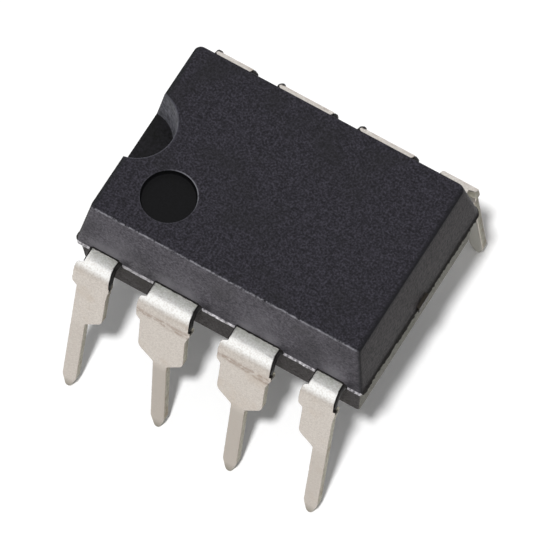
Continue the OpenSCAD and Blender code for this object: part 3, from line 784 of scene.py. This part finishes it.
# Painted shade along the top's edge at the notch end
shaded_far_edge = (left_top_edge, 0.2, (24, 27, 25), 0.6, 0.0)
shaded_edge = (plain_top_edge, 0.19, (12, 12, 15), 0.9, 0.0)
shaded_foot = (plain_parting_edge, 0.12, (9, 9, 9), 0.9, 0.34)
shaded_mitre = (mitre, 0.13, (12, 12, 14), 0.92, 0.0)
# Painted highlights round the rims of the notch and the dimple
notch_rim_highlight = (notch_rim, 0.04, (84, 84, 92), 0.7, 0.0)
dimple_rim_highlight = (dimple_rim, 0.035, (74, 74, 80), 0.55, 0.36)
dimple_glint = (dict(dimple_rim, Toward=(0.5, 0.86, 0)), 0.045, (128, 128, 134), 0.85, 0.3)
# Spots of painted light and shade on the front slope, as place, height, width and strength: just above the parting
# line, light over each lead thrown up from its bend and shade between the leads; higher up, broader painted patches
light_spot_places = ((-3.15, 0.7, 0.85, 0.28), (-1.1, 0.6, 0.8, 0.22), (1.25, 0.75, 0.85, 0.28), (3.5, 0.55, 0.75, 0.2),
               (-3.75, 0.2, 0.5, 0.75), (-3.3, 0.2, 0.5, 0.75), (-1.62, 0.2, 0.52, 0.75), (-0.95, 0.2, 0.5, 0.75),
               (0.88, 0.2, 0.48, 0.75), (1.62, 0.2, 0.5, 0.75), (3.6, 0.22, 0.52, 0.75))
shade_spot_places = ((-2.86, 0.12, 0.26, 0.7), (-0.35, 0.14, 0.3, 0.75), (2.1, 0.14, 0.3, 0.6), (4.12, 0.12, 0.26, 0.7),
              (2.75, 1.1, 0.6, 0.35), (-4.25, 0.9, 0.6, 0.3), (0.1, 0.9, 0.5, 0.25), (4.2, 0.7, 0.4, 0.35),
              (3.7, 1.35, 0.8, 0.3), (-2.2, 0.2, 0.42, 0.5), (0.12, 0.22, 0.5, 0.4), (2.6, 0.3, 0.55, 0.45),
              (-2.5, 0.75, 0.6, 0.25), (2.95, 0.7, 0.6, 0.4), (4.32, 0.3, 0.36, 0.5))
painted_light_spots = [(front_spot(x, height), width, (118, 116, 121), strength, 0.0) for x, height, width, strength in light_spot_places]
painted_shade_spots = [(front_spot(x, height), width, (36, 35, 38), strength, 0.0) for x, height, width, strength in shade_spot_places]
# Painted highlight along the foot of the notch wall
notch_foot_highlight = (notch_foot, 0.03, (100, 100, 106), 0.6, 0.0)


def moulded_resin(name, dark, light, roughness=0.55, specular=0.15, bump=0.02, size=0.065, skew=1.0, lines=()):
    """Filled epoxy with the tool's grain, mottled from a dark to a light tone, with lines at edges: wear, painted
    highlights and painted shade.
    """
    tree, shader, where, made = new_material(name, roughness=roughness, specular=specular)
    skin = place_effect(tree, grain, (-7, 0), Grain=size, Drift=0.9)
    clouds = place_effect(tree, grain, (-7, 1), Grain=0.2, Drift=1.6)
    for group in (skin, clouds):
        tree.links.new(where, group.inputs["Vector"])
    mix = arithmetic(tree, (-6, 0), "ADD", arithmetic(tree, (-6, 1), "MULTIPLY", skin.outputs["Fine"], 0.78),
                     arithmetic(tree, (-6, 2), "MULTIPLY", clouds.outputs["Fine"], 0.22))
    mottle = arithmetic(tree, (-5, 1), "POWER", remap(tree, (-6, 3), mix, 0.36, 0.64), skew)
    colour = blend_tone(tree, (-5, 0), dark, light, mottle)
    dusk = tuple(0.8 * a + 0.2 * b for a, b in zip(dark, light))
    colour = blend_tone(tree, (-4, 1), colour, (dusk[0], dusk[1] + 1, dusk[2] - 3),
                        remap(tree, (-5, 1), clouds.outputs["Slow"], 0.5, 0.7, 0.0, 0.5))
    both = arithmetic(tree, (-6, 5), "MULTIPLY",
                      arithmetic(tree, (-6, 4), "ADD", skin.outputs["Fine"], clouds.outputs["Fine"]), 0.5)
    for i, (line, width, over, strength, broken) in enumerate(lines):
        group = beside_rim if "Centre" in line else beside_line
        mask = place_effect(tree, group, (-5, 2 + i), Width=width * mm, **line)
        tree.links.new(where, mask.inputs["Vector"])
        shown = arithmetic(tree, (-4, 2 + i), "MULTIPLY", mask.outputs["Mask"], strength)
        if broken:
            gaps = (remap(tree, (-4, 3 + i), both, broken, broken + 0.16) if broken > 0 else
                    arithmetic(tree, (-3, 3 + i), "MULTIPLY", mottle,
                               remap(tree, (-4, 3 + i), clouds.outputs["Slow"], -broken, 0.12 - broken)))
            shown = arithmetic(tree, (-3, 2 + i), "MULTIPLY", shown, gaps)
        colour = blend_tone(tree, (-4 + i, 0), colour, over, shown)
    tree.links.new(colour, shader.inputs["Base Color"])
    rough_up(tree, shader, skin.outputs["Fine"], bump)
    return made


# One resin painted in a tone per zone for the light each face gets: the long side, lower sides and notch wall lighter
# as painted light, the lower ends lighter as a painted reflection, the end slopes darker, the notch floor dark as
# painted shade, and the dimple dark as painted shade over its smoother finish
resins = {
    "top": moulded_resin("resin top", (20, 19, 23), (60, 58, 66), size=0.06, skew=1.4,
                         lines=(scuffed, shaded_far_edge, shaded_edge, notch_rim_highlight, dimple_rim_highlight, dimple_glint)),
    "front": moulded_resin("resin long side", (53, 51, 56), (96, 93, 99), 
                           lines=(pale_foot, *painted_light_spots, *painted_shade_spots, scuffed, lit_ledge, shaded_mitre)),
    "end": moulded_resin("resin end", (12, 11, 13), (60, 56, 57), size=0.08,
                         lines=(shaded_edge, shaded_foot, shaded_mitre)),
    "lower side": moulded_resin("resin lower side", (67, 64, 64), (98, 95, 95), roughness=0.8, specular=0.03,
                                lines=(lit_ledge,)),
    "lower end": moulded_resin("resin lower end", (96, 95, 89), (140, 138, 129), roughness=0.8, specular=0.1,
                               bump=0.03),
    "underside": moulded_resin("resin underside", (24, 24, 26), (46, 46, 50)),
    "notch wall": moulded_resin("resin notch wall", (56, 56, 61), (102, 102, 109), size=0.1,
                                lines=(notch_rim_highlight, notch_foot_highlight)),
    "notch floor": moulded_resin("resin notch floor", (6, 6, 7), (30, 29, 33), size=0.08, lines=(notch_foot_highlight,)),
    "dimple": moulded_resin("resin dimple", (7, 7, 8), (13, 13, 15), roughness=0.45, specular=0.1, bump=0.004),
}
order = list(resins)


def zone_of(face):
    """The part of the body that a face belongs to, by where it lies and which way it looks."""
    x, y, z = face.center
    n = face.normal
    if math.hypot(x - dimple_x, y - dimple_y) < dimple_radius + 0.004 and top - 0.25 < z < top - 0.005:
        return "dimple"
    if math.hypot(x - notch_x, y) < notch_radius + 0.006 and foot - 0.01 < z < top - 0.005:
        return "notch floor" if n.z > 0.7 else "notch wall"
    if n.z < -0.7:
        return "underside"
    if n.z > 0.75:
        return "top"
    if z > 0:
        return "front" if abs(n.y) > abs(n.x) else "end"
    return "lower side" if abs(n.y) > abs(n.x) else "lower end"


cut_mesh.materials.clear()
for name in order:
    cut_mesh.materials.append(resins[name])
for face in cut_mesh.polygons:
    face.material_index = order.index(zone_of(face))
cut_mesh.polygons.foreach_set("use_smooth", [True] * len(cut_mesh.polygons))
cut_mesh.set_sharp_from_angle(angle=math.radians(32))
cut_mesh.transform(Matrix.Scale(mm, 4) @ Matrix.Translation(Vector((0, row_centre, parting_height))))
steady = body.modifiers.new("steady shading", "WEIGHTED_NORMAL")
steady.keep_sharp = True
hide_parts("mould_body")
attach(body, "root")

# Flash. Resin that crept out of the tool: a ragged fringe along the parting line, and thin glossy
# strips that fill the space beside each lead up to its dam-bar stubs. It breaks off in places.
strip_half, strip_root = 0.095, 0.03
left_reach = {1: 0.055, 2: 0.03, 3: 0.02, 4: 0.02}
lip_reach = 0.022
fringe_half = 0.028


def flash_strip(shape, number, side, reach, end):
    """A strip of resin along one edge of a lead, from inside the body to the given place on it."""
    course = course_of(number)
    edge = lead_edges(number)[side > 0]
    place = (number - 1) % 4
    spin = Matrix.Rotation(math.pi if number > 4 else 0, 3, "Z")
    widest = abs(edge_at(edge, min(end, course["leg"] - 0.002)))
    stations = 30
    rings = []
    for i in range(stations + 1):
        v = -0.06 + (end + 0.06) * i / stations
        wave = noise.noise(Vector((v * 7, number * 2.7, side * 5.0)))
        root = math.exp(-(max(v, 0.0) / 0.07) ** 2)
        narrowed = 1 - 0.85 * (i / stations) ** 5
        out = (reach * (1 + 0.15 * wave) + strip_root * root) * narrowed
        high, low = strip_half * (0.95 + 0.12 * wave), strip_half + 0.02 * root
        base = min(abs(edge_at(edge, v)), widest)
        profile = [(-0.004, high - 0.02), (0.02, high), (out - 0.02, high - 0.006), (out, high * 0.5),
                   (out, -low * 0.6), (out * 0.85, -low), (-0.004, -low)]
        rings.append([shape.verts.new(spin @ (on_lead(course, side * (base + u), v, t)
                                              + Vector(((place - 1.5) * lead_pitch, 0, 0)))) for u, t in profile])
    for a, b in zip(rings, rings[1:]):
        for i in range(len(a)):
            j = (i + 1) % len(a)
            shape.faces.new((a[i], a[j], b[j], b[i]))
    shape.faces.new(reversed(rings[0]))
    shape.faces.new(rings[-1])


def flash_lip(shape, number, steps=40):
    """A thin dark lip of resin that crept onto a lead's upper side where it leaves the body."""
    course = course_of(number)
    shift = Vector((((number - 1) % 4 - 1.5) * lead_pitch, 0, 0))
    left_w, right_w = half_widths(number)
    rings = []
    for i in range(steps + 1):
        u = -left_w[0] - 0.01 + (left_w[0] + right_w[0] + 0.02) * i / steps
        out = lip_reach * (1 + 0.8 * noise.noise(Vector((u * 9, number * 1.7, 2.0))))
        profile = [(-0.06, sheet / 2 + 0.014), (out * 0.7, sheet / 2 + 0.012), (out, sheet / 2 - 0.004),
                   (-0.06, sheet / 2 - 0.004)]
        rings.append([shape.verts.new(on_lead(course, u, v, t) + shift) for v, t in profile])
    for a, b in zip(rings, rings[1:]):
        for i in range(len(a)):
            j = (i + 1) % len(a)
            shape.faces.new((a[i], a[j], b[j], b[i]))
    shape.faces.new(reversed(rings[0]))
    shape.faces.new(rings[-1])


def flash_lump(shape, number, side, beyond, half_size, round_steps=14, rings_count=8):
    """A lump of resin left on a dam-bar stub: how far past its end, and its half sizes across, along
    and through the strip."""
    course = course_of(number)
    spin = Matrix.Rotation(math.pi if number > 4 else 0, 3, "Z")
    middle = side * (half_widths(number)[side > 0][1] + beyond)
    shift = Vector((((number - 1) % 4 - 1.5) * lead_pitch, 0, 0))
    rings = []
    for i in range(1, rings_count):
        a = math.pi * i / rings_count
        ring = []
        for j in range(round_steps):
            b = 2 * math.pi * j / round_steps
            way = Vector((math.cos(a), math.sin(a) * math.cos(b), math.sin(a) * math.sin(b)))
            swell = 1 + 0.2 * noise.noise(way * 1.4 + Vector((number, side * 3.0, 0)))
            u, v, t = (half * swell * w for half, w in zip(half_size, way))
            ring.append(shape.verts.new(spin @ (on_lead(course, middle + u, course["leg"] - 0.08 + v, t) + shift)))
        rings.append(ring)
    for a, b in zip(rings, rings[1:]):
        for i in range(round_steps):
            j = (i + 1) % round_steps
            shape.faces.new((a[i], a[j], b[j], b[i]))
    shape.faces.new(reversed(rings[0]))
    shape.faces.new(rings[-1])


def over_lead(p):
    """Whether a point of the parting line lies where a front lead leaves the body."""
    for number in (1, 2, 3, 4):
        left_w, right_w = half_widths(number)
        along = p.x - (number - 2.5) * lead_pitch
        if -left_w[0] - 0.03 < along < right_w[0] + 0.13:
            return True
    return False


def fringe_width(p):
    """How far the fringe stands out at a point of the parting line: most at the plain end."""
    slow = 0.5 + 0.6 * noise.noise(Vector((p.x * 1.9, p.y * 1.9, 7)))
    fine = noise.noise(Vector((p.x * 13, p.y * 13, 3))) + 0.6 * noise.noise(Vector((p.x * 29, p.y * 29, 5)))
    widest = 0.055 if p.x > half_length - 0.02 else 0.028
    if p.y < 0.02 - body_half_width:
        widest = 0.022 if over_lead(p) else 0.06
    ragged = 0.034 if p.x > half_length - 0.02 else 0.016
    return max(0.005, widest * (0.6 + 0.6 * slow) + ragged * fine)


def flash_fringe(shape):
    """The ragged fringe where the tool's halves met, right round the body."""
    rings = []
    for p in outline_at(half_length, body_half_width):
        end_side = abs(p.x) / half_length > abs(p.y) / body_half_width
        out = Vector((math.copysign(1, p.x), 0, 0)) if end_side else Vector((0, math.copysign(1, p.y), 0))
        width = fringe_width(p)
        thick = fringe_half * (0.8 + 0.5 * noise.noise(p * 6))
        profile = [(-0.03, thick + 0.012), (width * 0.55, thick * 0.7), (width, 0.0), (width * 0.6, -thick),
                   (-0.07, -thick - 0.01)]
        rings.append([shape.verts.new(p + out * d + Vector((0, 0, z))) for d, z in profile])
    for a, b in zip(rings, rings[1:] + rings[:1]):
        for i in range(len(a)):
            j = (i + 1) % len(a)
            face = shape.faces.new((a[i], a[j], b[j], b[i]))
            middle = face.calc_center_median()
            # The front fringe between the leads takes the scuffed flash with painted light
            face.material_index = 1 if middle.y < -body_half_width + 0.03 and not over_lead(middle) else 0


shape = bmesh.new()
for number in forming:
    course = course_of(number)
    if number < 5:
        flash_strip(shape, number, -1, left_reach[number], course["stub"] - 0.02)
        flash_strip(shape, number, 1, 0.07, course["leg"])
        flash_lip(shape, number)
    else:
        flash_strip(shape, number, 1, 0.03, course["stub"] + 0.02)
    if number > 5:
        flash_strip(shape, number, -1, 0.05, course["stub"] + 0.02)
        flash_lump(shape, number, -1, 0.04, (0.13, 0.12, 0.115))
        flash_lump(shape, number, 1, -0.05, (0.14, 0.09, 0.168))
bmesh.ops.recalc_face_normals(shape, faces=shape.faces)
strips = finished_mesh("resin_strips", shape, False, 50)
strips.data.materials.append(moulded_resin("glossy flash", (12, 12, 12), (34, 32, 31), roughness=0.42, specular=0.25,
                                           bump=0.006))
shape = bmesh.new()
flash_fringe(shape)
bmesh.ops.recalc_face_normals(shape, faces=shape.faces)
fringe = finished_mesh("parting_fringe", shape, False, 30)
fringe.data.materials.append(moulded_resin("torn flash", (10, 9, 8), (30, 28, 26), roughness=0.5, specular=0.2))
# Along the front between the leads the fringe is scuffed and painted light, where light falls on its upper side
fringe.data.materials.append(moulded_resin("scuffed flash painted lit", (88, 86, 89), (222, 219, 223), size=0.09))
for piece in (strips, fringe):
    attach(piece, "root")

# Room. A plain white sweep, a lamp high in front whose shadows have a soft edge, and white walls with
# a broad soft box over them, which only gloss shows. The camera has the photograph's long lens.
sweep = bpy.data.meshes.new("sweep")
reach = 0.6
sweep.from_pydata([(-reach, -reach, 0), (reach, -reach, 0), (reach, reach, 0), (-reach, reach, 0)], [], [(0, 1, 2, 3)])
floor = bpy.data.objects.new("sweep", sweep)
bpy.context.collection.objects.link(floor)
paper = bpy.data.materials.new("white paper")
paper.use_nodes = True
tree = paper.node_tree
shader = tree.nodes["Principled BSDF"]
shader.inputs["Roughness"].default_value = 1.0
shader.inputs["Specular IOR Level"].default_value = 0.0
path = add(tree, "ShaderNodeLightPath", (-4, 0))
white = add(tree, "ShaderNodeMix", (-2, 0), data_type="RGBA")
white.inputs[6].default_value = (0.8, 0.8, 0.8, 1)
white.inputs[7].default_value = (1.06, 1.06, 1.06, 1)
tree.links.new(arithmetic(tree, (-3, 0), "MAXIMUM", path.outputs["Is Camera Ray"], path.outputs["Is Glossy Ray"]),
               white.inputs[0])
tree.links.new(white.outputs[2], shader.inputs["Base Color"])
floor.data.materials.append(paper)

key = bpy.data.lights.new("key", "SUN")
key.energy = 2.45
key.angle = math.radians(4.5)
key_lamp = bpy.data.objects.new("key", key)
key_lamp.rotation_euler = Vector((0.09, -0.35, 1.0)).to_track_quat("Z", "Y").to_euler()
key_lamp.visible_glossy = False
bpy.context.collection.objects.link(key_lamp)

world = bpy.data.worlds.new("walls")
bpy.context.scene.world = world
world.use_nodes = True
tree = world.node_tree
walls = tree.nodes["Background"]
fill, wall, box_light = 0.315, 0.95, 0.28
soft_box_centre = Vector((-0.2, -0.13, 0.97)).normalized()
path = add(tree, "ShaderNodeLightPath", (-4, 0))
direction = add(tree, "ShaderNodeTexCoord", (-6, 1)).outputs["Generated"]
toward = add(tree, "ShaderNodeVectorMath", (-5, 1), operation="DOT_PRODUCT")
toward.inputs[1].default_value = soft_box_centre
tree.links.new(direction, toward.inputs[0])
soft_box = remap(tree, (-4, 1), toward.outputs["Value"], 0.45, 0.87, 0.0, box_light, smooth=True)
shine = arithmetic(tree, (-3, 1), "ADD", soft_box, wall)
level = add(tree, "ShaderNodeMix", (-1, 1), data_type="FLOAT")
level.inputs[2].default_value = fill
tree.links.new(path.outputs["Is Glossy Ray"], level.inputs[0])
tree.links.new(shine, level.inputs[3])
tree.links.new(level.outputs[0], walls.inputs["Strength"])
walls.inputs["Color"].default_value = (1, 1, 1, 1)

lens = bpy.data.cameras.new("camera")
lens.sensor_width = 36
lens.lens = 486.62
lens.clip_start = 0.01
lens.clip_end = 10
camera = bpy.data.objects.new("camera", lens)
right = Vector((0.859102, 0.511802, -0.001530))
up = Vector((-0.464672, 0.781235, 0.416835))
turn = Matrix((right, up, right.cross(up))).transposed().to_4x4()
camera.matrix_world = Matrix.Translation(Vector((43.5431, -72.5706, 187.1967)) * mm) @ turn
bpy.context.collection.objects.link(camera)
bpy.context.scene.camera = camera
bpy.context.scene.view_settings.view_transform = "Standard"
